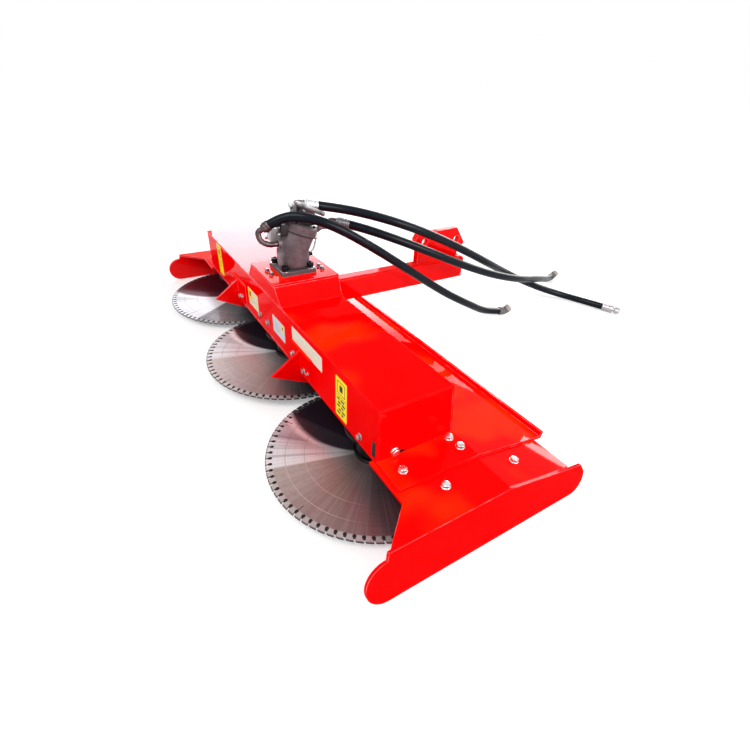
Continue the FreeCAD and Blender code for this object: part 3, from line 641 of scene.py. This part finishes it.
# flanged hex bolts in four sizes: millimetres, then place, direction and turn of each one
bolts = {
    "large": {
        "shape": {"flange": 12.2, "flangeThick": 2.4, "across": 19.0, "head": 7.6, "chamfer": 1.4},
        "finish": "zincBright", "places": {
            "end_bolt": ((725, -264, 151), endWay, 12),
            "base_bolt_2": ((778, -274, 137), upWay, 40),
            "base_bolt_3": ((860, -210, 129), upWay, 25),
            "base_bolt_4": ((741, -105, 137), upWay, 5),
            "base_bolt_5": ((781, -101, 137), upWay, 33),
            "base_bolt_6": ((870, 4, 114.6), slopeWay, 18),
            "base_bolt_7": ((-837, -283, 129), upWay, 22),
            "base_bolt_8": ((-816, -264, 137), upWay, 50),
            "base_bolt_9": ((-860, -210, 129), upWay, 8),
            "base_bolt_10": ((-870, 4, 114.6), slopeWay, 35),
            "base_bolt_11": ((-741, -105, 137), upWay, 15),
            "base_bolt_12": ((-781, -101, 137), upWay, 47)}},
    "small": {
        "shape": {"flange": 10.0, "flangeThick": 2.0, "across": 14.0, "head": 6.6, "chamfer": 1.2},
        "finish": "zincWorn", "places": {
            "panel_bolt_1": ((-62, -314, 178), frontWay, 10),
            "panel_bolt_2": ((13, -314, 181), frontWay, 30),
            "panel_bolt_3": ((646, -314, 158), frontWay, 20),
            "finger_bolt_1": ((325, -322, 167), frontWay, 15),
            "finger_bolt_2": ((250, -322, 187), frontWay, 40),
            "finger_bolt_3": ((-271, -322, 167), frontWay, 5),
            "finger_bolt_4": ((-346, -322, 187), frontWay, 25)}},
    "stand": {
        "shape": {"flange": 8.5, "flangeThick": 2.0, "across": 12.0, "head": 7.0, "chamfer": 1.0},
        "finish": "zincDark", "places": {
            "stand_bolt_1": ((-20, -291, 349), upWay, 17),
            "stand_bolt_2": ((17, -290, 349), upWay, 34),
            "stand_bolt_3": ((8, -117, 349), upWay, 51),
            "stand_bolt_4": ((36, -118, 349), upWay, 8)}},
    "tiny": {
        "shape": {"flange": 5.5, "flangeThick": 1.2, "across": 8.0, "head": 5.0, "chamfer": 0.8},
        "finish": "zincBright", "places": {
            "finger_screw_1": ((352, -322, 172), frontWay, 15),
            "finger_screw_2": ((-244, -322, 174), frontWay, 35)}},
}


def makeBoltMaster(name, facts):
    mm = {key: value / 1000 for key, value in facts.items()}
    piece = startPiece(name, "cylinder", vertices=28, radius=mm["flange"],
                       depth=mm["flangeThick"], location=(0, 0, mm["flangeThick"] / 2))
    pick(piece, lambda face: face.normal.z > 0.9)
    bpy.ops.mesh.inset(thickness=mm["flange"] * 0.22, depth=mm["flangeThick"] * 0.35)
    leaveEdit()
    pick(piece, lambda face: False)
    middle = mm["flangeThick"] + mm["head"] / 2
    bpy.ops.mesh.primitive_cylinder_add(vertices=6, radius=mm["across"] / 2 / math.cos(math.pi / 6),
                                        depth=mm["head"], location=(0, 0, middle))
    top = mm["flangeThick"] + mm["head"]
    leaveEdit()
    pick(piece, lambda face: face.normal.z > 0.9 and face.calc_center_median().z > top - 0.0002)
    bpy.ops.mesh.inset(thickness=mm["chamfer"], depth=mm["chamfer"] * 0.5)
    leaveEdit()
    return bevelled(piece, 0.0006, 2)


def placeBolts():
    for size, facts in bolts.items():
        master = makeBoltMaster(size + "_master", facts["shape"])
        for name, (place, way, spin) in facts["places"].items():
            piece = copied(master, name, pointed(Vector(place) / 1000, way, spin))
            finishPiece(piece, "head", facts["finish"])
        bpy.data.objects.remove(master)


# socket screws with washers on the motor flange: plain round head with a hexagonal recess
socket = {"radius": 11.5, "head": 16.0, "recess": 5.4, "deep": 7.0}
washer = {"radius": 14.5, "thick": 2.2}
flangeCorners = ((-50, -251), (38, -251), (38, -162), (-50, -162))


def makeSocketMaster(name, facts):
    mm = {key: value / 1000 for key, value in facts.items()}
    piece = startPiece(name, "cylinder", vertices=24, radius=mm["radius"], depth=mm["head"],
                       location=(0, 0, mm["head"] / 2))
    pick(piece, lambda face: face.normal.z > 0.9)
    bpy.ops.mesh.inset(thickness=mm["radius"] - mm["recess"])
    bpy.ops.mesh.extrude_region_move(TRANSFORM_OT_translate={"value": (0, 0, -mm["deep"])})
    leaveEdit()
    return bevelled(piece, 0.0008, 2)


def placeSocketScrews():
    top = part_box("motor_flange")[1].z
    screwMaster = makeSocketMaster("screw_master", socket)
    rings = [(0, washer["radius"]), (washer["thick"], washer["radius"])]
    washerMaster = bevelled(grown("washer_master", 28, rings), 0.0004)
    for index, (x, y) in enumerate(flangeCorners, 1):
        place = Vector((x, y, top * 1000)) / 1000
        piece = copied(washerMaster, "motor_washer_%d" % index, pointed(place, upWay))
        finishPiece(piece, "head", "zincBright")
        place = place + Vector((0, 0, washer["thick"] / 1000))
        piece = copied(screwMaster, "motor_screw_%d" % index, pointed(place, upWay))
        finishPiece(piece, "head", "blackBolt")
    bpy.data.objects.remove(washerMaster)
    bpy.data.objects.remove(screwMaster)


placeBolts()
placeSocketScrews()
print("bolts in place")


# stickers on the front panel: thin plates with plain printed blocks. Marks are left, right, low,
# high as shares of the plate, then how strong the ink is.
printing = {"ink": (0.02, 0.02, 0.02), "grime": (0.30, 0.27, 0.22), "left": 0.14, "right": 0.86,
            "roughness": 0.35}
yellowFrame = [(0.16, 0.84, 0.60, 0.62, 1), (0.16, 0.84, 0.90, 0.92, 1),
               (0.16, 0.20, 0.60, 0.92, 1), (0.80, 0.84, 0.60, 0.92, 1),
               (0.36, 0.64, 0.68, 0.84, 1)]


def stickerFinish(name, ground, low, high, marks):
    surface, place = newMaterial(name, {"Specular IOR Level": 0.1, "Coat Weight": 0.08})
    across = (place.axis(0) - low.x) / (high.x - low.x)
    above = (place.axis(2) - low.z) / (high.z - low.z)
    inked = None
    for x0, x1, z0, z1, strength in marks:
        inside = ((across > x0) * (across < x1)) * ((above > z0) * (above < z1)) * strength
        inked = inside if inked is None else inked.maths("MAXIMUM", inked, inside)
    grime = place.noise(70.0, 4.0).soft(0.5, 0.85) * 0.06
    body = grime.mix(ground, printing["grime"])
    feed(surface, colour=inked.mix(body, printing["ink"]), roughness=grime + printing["roughness"])


def dashes(rows, tall=0.022, strength=0.85):
    left, wide = printing["left"], printing["right"] - printing["left"]
    return [(left + wide * start, left + wide * stop, z, z + tall, strength)
            for z, spans in rows for start, stop in spans]


stickers = {
    "sticker_near": {
        "box": (515, 575, 142, 267), "ground": (0.98, 0.74, 0.0),
        "marks": yellowFrame + [(0.08, 0.92, 0.53, 0.545, 1)] + dashes([
            (0.44, [(0, .3), (.45, .9)]), (0.35, [(.1, .45), (.6, 1)]),
            (0.26, [(0, .35), (.5, .8)]), (0.17, [(.2, .5), (.6, 1)]),
            (0.08, [(0, .4), (.55, .8)])], tall=0.055, strength=0.95)},
    "sticker_long": {
        "box": (229, 434, 222, 270), "ground": (0.74, 0.70, 0.58),
        "marks": dashes([
            (0.66, [(0.05, .4), (.48, .62), (.7, .92)]), (0.46, [(0.1, .5), (.58, .86)]),
            (0.26, [(0.02, .3), (.4, .8)])], tall=0.07, strength=0.16)},
    "sticker_pale": {
        "box": (61, 164, 174, 235), "ground": (0.62, 0.63, 0.68),
        "marks": dashes([(0.60, [(0, .5)]), (0.44, [(0, .7)]), (0.28, [(0.1, .6)])],
                        tall=0.05, strength=0.35)},
    "sticker_corner": {
        "box": (-188, -84, 171, 237), "ground": (0.80, 0.72, 0.46),
        "marks": dashes([(0.55, [(0, .6)]), (0.36, [(0.1, .8)]), (0.2, [(0, .4)])],
                        tall=0.05, strength=0.4)},
    "sticker_far": {
        "box": (-585, -525, 152, 282), "ground": (0.98, 0.74, 0.0),
        "marks": yellowFrame + dashes([
            (0.46, [(0, .3), (.4, 1)]), (0.38, [(.1, .5), (.6, .9)]), (0.28, [(0, .8)])])},
    "sticker_patch_1": {
        "box": (136, 160, 208, 231), "ground": (0.95, 0.72, 0.0),
        "marks": [(0.3, 0.7, 0.3, 0.7, 0.9)], "lift": 0.9},
    "sticker_patch_2": {
        "box": (-184, -148, 198, 234), "ground": (0.95, 0.70, 0.0),
        "marks": [(0.25, 0.75, 0.25, 0.75, 0.9)], "lift": 0.9},
}


def makeStickers():
    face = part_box("front_panel")[0].y
    for name, facts in stickers.items():
        x0, x1, z0, z1 = (value / 1000 for value in facts["box"])
        lift = facts.get("lift", 0.5) / 1000
        piece = startPiece(name, "cube", size=1.0, scale=(x1 - x0, lift, z1 - z0),
                           location=((x0 + x1) / 2, face - lift / 2, (z0 + z1) / 2))
        pick(piece, lambda edge: abs(edge.verts[0].co.y - edge.verts[1].co.y) > lift / 2, "EDGE")
        bpy.ops.mesh.bevel(offset=0.004, segments=4)
        leaveEdit()
        stickerFinish(name + "_print", facts["ground"], Vector((x0, 0, z0)), Vector((x1, 0, z1)),
                      facts["marks"])
        finishPiece(piece, "head", name + "_print")


makeStickers()
print("stickers on")

# hose fittings: crimped sleeves, collars and domes at the ends, and a hexagonal swivel nut
crimps = {
    "short": [(0, 9.5), (0, 14), (7.5, 14), (8, 16.4), (9, 17), (14, 17), (15, 15.9), (17, 15.9),
              (18, 17), (24.5, 17), (26, 16.2), (26, 15)],
    "long": [(0, 9.5), (0, 14), (7.5, 14), (8, 16.4), (9, 17), (15, 17), (16, 15.9), (18, 15.9),
             (19, 17), (25, 17), (26, 15.9), (28, 15.9), (29, 17), (36, 17), (37, 15.9), (39, 15.9),
             (40, 17), (44.5, 17), (46, 16.2), (46, 15)],
    "last": [(0, 15), (0, 16.2), (1.5, 17), (6, 17), (7, 15.9), (9, 15.9), (10, 17), (16, 17),
             (17, 15.9), (19, 15.9), (20, 17), (26, 17), (27, 15.9), (29, 15.9), (30, 17), (43, 17),
             (46, 14.5), (46, 9), (55, 9)],
    "dome": [(-9, 16.8), (-9, 17.6), (-3, 17.6), (-2, 16.8), (0, 17.2), (2, 16.0), (4.5, 12.5),
             (6, 7)],
    "collar": [(-3, 15.4), (-3, 17.2), (0, 17.9), (6, 17.9), (7.5, 17.2)],
    "nut": [(54, 12), (54, 15), (55.5, 17), (74, 17), (75.6, 15.2), (75.6, 11), (70, 10.5)],
}
sleeves = {"a": ("short", "oilySteel"), "b": ("long", "zincDark"), "c": ("long", "zincBright")}
domeLifts = {"a": (18, 24, 34), "b": (10, 26, 34)}    # which way the capped elbows turn up
domeReach = {"along": 30, "lift": 0.6}
nutSpin = 12


def placeFitting(name, rings, place, way, finish, slot="fitting_zinc", stands=(), **how):
    piece = grown(name, how.get("sides", 32), rings)
    bevelled(piece, how.get("round", 0.0003))
    piece.data.transform(pointed(place / 1000, way, how.get("spin", 0.0)))
    finishPiece(piece, "head", finish, stands)


def makeFittings():
    for key, (kind, finish) in sleeves.items():
        first, second = (Vector(point) for point in hoses[key]["points"][:2])
        way = (second - first).normalized()
        placeFitting("ferrule_%s_crimped" % key, crimps[kind], first - way * crimps[kind][-1][0],
                     way, finish, stands=["ferrule_" + key])
    for key, lift in domeLifts.items():
        before, last = (Vector(point) for point in hoses[key]["points"][-2:])
        tip = last + (last - before).normalized() * domeReach["along"]
        tip = tip + Vector(lift) * domeReach["lift"]
        placeFitting("end_dome_" + key, crimps["dome"], tip, lift, "endPale", "end_cap")
        placeFitting("end_collar_" + key, crimps["collar"], last, last - before,
                     "endCap", "end_cap")
    before, last = (Vector(point) for point in hoses["c"]["points"][-2:])
    way = (last - before).normalized()
    placeFitting("hose_end_c_crimped", crimps["last"], last, way, "zincWorn",
                 stands=["hose_end_c"])
    placeFitting("swivel_nut", crimps["nut"], last, way, "zincWorn",
                 sides=6, round=0.0004, spin=nutSpin)


makeFittings()
for key, facts in hoses.items():
    makeHose(key, facts)
print("hoses laid")


# blocks, plates, and flat black patches that paint the shade in recesses: low and high corners in
# millimetres
blocks = {
    "valve_block": {"low": (-10, -247, 467), "high": (20, -222, 504), "edge": 1.6,
                    "pad": (0, -1, 0), "finish": "blackIron", "slot": "motor_iron"},
    "top_joint": {"low": (-20, -174, 488), "high": (7, -124, 547), "edge": 3.0,
                  "pad": (1, 0, 0), "finish": "flangeIron", "slot": "motor_iron"},
    "adapter_block": {"low": (-74, -262, 436), "high": (-40, -219, 478), "edge": 3.0,
                      "pad": (0, -1, 0), "finish": "paleCasting", "slot": "fitting_zinc"},
    # flat black patches: painted shade inside the panel and end slots
    "panel_slot": {"low": (702, -314.4, 143), "high": (717, -314, 190), "edge": 0.1,
                   "finish": "slotShade", "slot": "red_paint"},
    "end_slot": {"low": (725, -250, 138), "high": (725.4, -233, 148), "edge": 0.1,
                 "finish": "slotShade", "slot": "red_paint"},
}
blockPad = {"inset": 0.005, "rise": 0.003}


def makeBlock(name, facts):
    low, high = Vector(facts["low"]) / 1000, Vector(facts["high"]) / 1000
    piece = startPiece(name, "cube", size=1.0, location=(low + high) / 2, scale=high - low)
    if "pad" in facts:
        way = Vector(facts["pad"])
        pick(piece, lambda face: face.normal.dot(way) > 0.9)
        bpy.ops.mesh.inset(thickness=blockPad["inset"])
        bpy.ops.mesh.extrude_region_move(TRANSFORM_OT_translate={"value": way * blockPad["rise"]})
    else:
        pick(piece, lambda face: True)
        bpy.ops.mesh.subdivide(number_cuts=1)
    leaveEdit()
    bevelled(piece, facts["edge"] / 1000, 3)
    finishPiece(piece, "head", facts["finish"])


# round parts on the motor: foot, direction, rings
lean = Vector((0, math.sin(math.radians(20)), math.cos(math.radians(20))))
capFoot = Vector((-6, -178, 470))
rounds = {
    "cap_seam": {
        "foot": capFoot, "way": lean, "sides": 64, "finish": "blackIron",
        "rings": [(-4.2, 50), (-4.2, 55.4), (0.4, 56.2), (0.4, 50)]},
    "top_plug": {
        "foot": (-12, -190, 552), "way": (0, -1, 0.06), "sides": 28, "finish": "zincBright",
        "rings": [(0, 8), (0, 11), (3, 11), (3.6, 10), (6, 10), (6.6, 11), (12, 11), (13.5, 9.6),
                  (13.5, 5.4), (7, 5.0)]},
    "drain_fitting": {
        "foot": (-6, -152, 392), "way": (0, 1, 0), "sides": 6, "finish": "blackBolt",
        "rings": [(0, 7), (0, 9), (9, 9), (10, 7), (17, 7), (18, 5)]},
    "drain_top": {
        "foot": (-6, -118, 444), "way": upWay, "sides": 20, "finish": "zincBright",
        "rings": [(-4, 4), (-4, 6.5), (6, 6.5), (7, 5), (16, 5)]},
    "bleed_tube": {
        "foot": (-14, -118, 470), "way": (0, 1, -0.05), "sides": 14, "finish": "oilySteel",
        "rings": [(0, 4), (0, 6), (6, 6), (7, 3.2), (66, 3.2), (67, 5), (74, 5), (75, 4)]},
}
# thin black discs in the blades that paint the shade in the gullets, seen only through them
shadeDiscFeet = {"near": (592, -234, 27), "mid": (0, -234, 38), "far": (-592, -234, 27)}
for side, foot in shadeDiscFeet.items():
    rounds["gullet_web_" + side] = {
        "foot": foot, "way": upWay, "sides": 96, "finish": "blackIron", "slot": "blade_steel",
        "body": "blade_unit_" + side,
        "rings": [(-0.6, 292), (-0.6, 292.5), (0.6, 292.5), (0.6, 292)]}

drain = {"foot": (-6, -118, 442), "radius": 3.5, "steps": (
    (0, -1, -9), (0, -3, -10), (0, -2, -8), (0, -4, -8), (0, -7, -7), (0, -7, -6))}
strap = {"size": (4, 112, 15), "middle": (14.5, -144.5, 543.5), "tilt": -24, "corner": 6}


def makeRounds():
    for name, facts in rounds.items():
        piece = bevelled(grown(name, facts["sides"], facts["rings"]), 0.0003)
        piece.data.transform(pointed(Vector(facts["foot"]) / 1000, facts["way"]))
        finishPiece(piece, facts.get("body", "head"), facts["finish"])


# thin pipe from the joint down to the fitting on the motor's side
def makeDrain():
    piece = startPiece("drain_tube", "circle", vertices=14, radius=drain["radius"] / 1000,
                       fill_type="NGON", location=Vector(drain["foot"]) / 1000)
    pick(piece, lambda face: True)
    for step in drain["steps"]:
        bpy.ops.mesh.extrude_region_move(TRANSFORM_OT_translate={"value": Vector(step) / 1000})
    closeUp()
    bevelled(piece, 0.0004)
    finishPiece(piece, "head", "zincBright")


# strap beside the top hose sleeve, held by two small bolts
def makeStrap():
    size, middle = Vector(strap["size"]) / 1000, Vector(strap["middle"]) / 1000
    piece = startPiece("sleeve_strap", "cube", size=1.0, scale=size)
    pick(piece, lambda edge: abs(edge.verts[0].co.x - edge.verts[1].co.x) > size.x * 0.75, "EDGE")
    bpy.ops.mesh.bevel(offset=strap["corner"] / 1000, segments=4)
    leaveEdit()
    bevelled(piece, 0.0005)
    tilt = Matrix.Rotation(math.radians(strap["tilt"]), 4, "X")
    piece.data.transform(Matrix.Translation(middle) @ tilt)
    finishPiece(piece, "head", "zincDark")


for name, facts in blocks.items():
    makeBlock(name, facts)
makeRounds()
makeDrain()
makeStrap()

# tiny bolts on the motor: four round the cap, then blocks, strap and joint
capRing = {"lift": 28, "half": 32}
tinyPlaces = [
    ((-3, -250, 475), frontWay), ((13, -250, 475), frontWay), ((-3, -250, 496), frontWay),
    ((13, -250, 496), frontWay), ((-66, -265, 444), frontWay), ((-48, -265, 470), frontWay),
    ((16.5, -188, 563), endWay), ((16.5, -104, 526), endWay), ((10, -166, 538), endWay),
    ((10, -132, 538), endWay),
]
tinySpin = 23    # degrees more from one to the next


def placeTinyBolts():
    master = makeBoltMaster("tiny_bolt_master", bolts["tiny"]["shape"])
    back = lean.cross(Vector(endWay))
    top = capFoot + lean * capRing["lift"]
    offsets = (-capRing["half"], capRing["half"])
    places = [(top + Vector(endWay) * x - back * y, lean) for x in offsets for y in offsets]
    capCount = len(places)
    for index, (place, way) in enumerate(places + tinyPlaces, 1):
        piece = copied(master, "tiny_bolt_%d" % index,
                       pointed(Vector(place) / 1000, way, tinySpin * index))
        finishPiece(piece, "head", "blackBolt" if index <= capCount else "zincDark")
    bpy.data.objects.remove(master)


placeTinyBolts()
print("motor dressed")


# weld beads: overlapping ripples along a joint
beads = {
    "bead_ear_left": ((-12.5, 290, 292), (-12.5, 530, 292)),
    "bead_ear_right": ((12.5, 290, 292), (12.5, 530, 292)),
    "bead_stand_near": ((147.5, -309, 292), (147.5, -96, 292)),
    "bead_stand_far": ((-160.5, -309, 292), (-160.5, -96, 292)),
}
ripple = {"pitch": 4.5, "crest": 2.0, "low": 2.3, "high": 3.1, "end": 2.0, "sides": 10}


def makeBeads():
    for name, (start, end) in beads.items():
        start, end = Vector(start), Vector(end)
        long = (end - start).length
        count = int(long / ripple["pitch"])
        rings = []
        for index in range(count):
            foot = index * long / count
            rings += [(foot, ripple["low"]), (foot + ripple["crest"], ripple["high"])]
        piece = grown(name, ripple["sides"], rings + [(long, ripple["end"])])
        piece.data.transform(pointed(start / 1000, end - start))
        bpy.ops.object.shade_smooth_by_angle(angle=math.radians(60))
        finishPiece(piece, "head", "redGloss")


makeBeads()
print("welds laid")

# studio: pale floor that fades into a white surrounding, in metres from the middle
studio = {"floor": (0.80, 0.80, 0.80), "world": 0.55, "lift": 0.30, "fadeFrom": 1.7, "fadeTo": 4.2,
          "size": 60.0, "below": 0.0005}


def makeFloor():
    bpy.ops.mesh.primitive_plane_add(size=studio["size"], location=(0, 0, -studio["below"]))
    floor = bpy.context.object
    floor.name = "floor"
    surface, place = newMaterial("floorPale", {
        "Base Color": (*studio["floor"], 1), "Roughness": 0.9, "Specular IOR Level": 0.0,
        "Emission Strength": 1.0})
    away = place.node("ShaderNodeVectorMath", {"operation": "LENGTH"}, {0: place}, "Value")
    fade = away.soft(studio["fadeFrom"], studio["fadeTo"])
    seen = place.node("ShaderNodeLightPath", {}, {}, "Is Camera Ray")
    level = (fade * (1.0 - studio["lift"]) + studio["lift"]) * seen
    feed(surface, glow=level.mix((0, 0, 0), (1, 1, 1)))
    floor.data.materials.append(materials["floorPale"])


def makeWorld():
    world = bpy.data.worlds.new("openAir")
    world.use_nodes = True
    bpy.context.scene.world = world
    tree = world.node_tree
    back = tree.nodes["Background"]
    back.inputs["Color"].default_value = (1, 1, 1, 1)
    seen = Shade(tree).node("ShaderNodeLightPath", {}, {}, "Is Camera Ray")
    path = seen.socket.node
    for ray in ("Is Glossy Ray", "Is Transmission Ray"):
        seen = seen.maths("MAXIMUM", seen, Shade(tree, path.outputs[ray]))
    level = seen * (1.0 - studio["world"]) + studio["world"]
    tree.links.new(level.socket, back.inputs["Strength"])
    bpy.context.scene.view_settings.view_transform = "Standard"


# one key lamp, low panels on three sides, and a thin strip for the near shoe's back slope
lamps = {
    "key": {"place": (1.6, -2.4, 3.7), "aim": (0, 0, 0.2), "wide": 2.4, "high": 2.4, "power": 122},
    "far": {"place": (-4.2, 1.55, 1.75), "aim": (-0.4, 0, 0.3), "wide": 2.2, "high": 1.0,
            "power": 70, "tint": (0.94, 0.92, 1.0)},
    "back": {"place": (-2.6, 3.4, 1.3), "aim": (0.3, 0.2, 0.2), "wide": 2.8, "high": 0.7,
             "power": 80},
    "strip": {"place": (-0.52, 3.4, 1.50), "aim": (0.88, 0.12, 0.1), "wide": 0.62, "high": 0.07,
              "power": 4},
    "side": {"place": (3.2, 1.4, 1.5), "aim": (0.5, 0.3, 0.2), "wide": 2.0, "high": 1.6,
             "power": 90},
}


def makeLamp(name, facts):
    data = bpy.data.lights.new(name, "AREA")
    data.shape = "RECTANGLE"
    data.size = facts["wide"]
    data.size_y = facts["high"]
    data.energy = facts["power"]
    data.color = facts.get("tint", (1, 1, 1))
    lamp = bpy.data.objects.new(name, data)
    bpy.context.scene.collection.objects.link(lamp)
    place, aim = Vector(facts["place"]), Vector(facts["aim"])
    turned = (place - aim).to_track_quat("Z", "Y").to_matrix().to_4x4()
    lamp.matrix_world = Matrix.Translation(place) @ turned
    lamp.visible_camera = False


makeFloor()
makeWorld()
for name, facts in lamps.items():
    makeLamp(name, facts)
print("studio set")
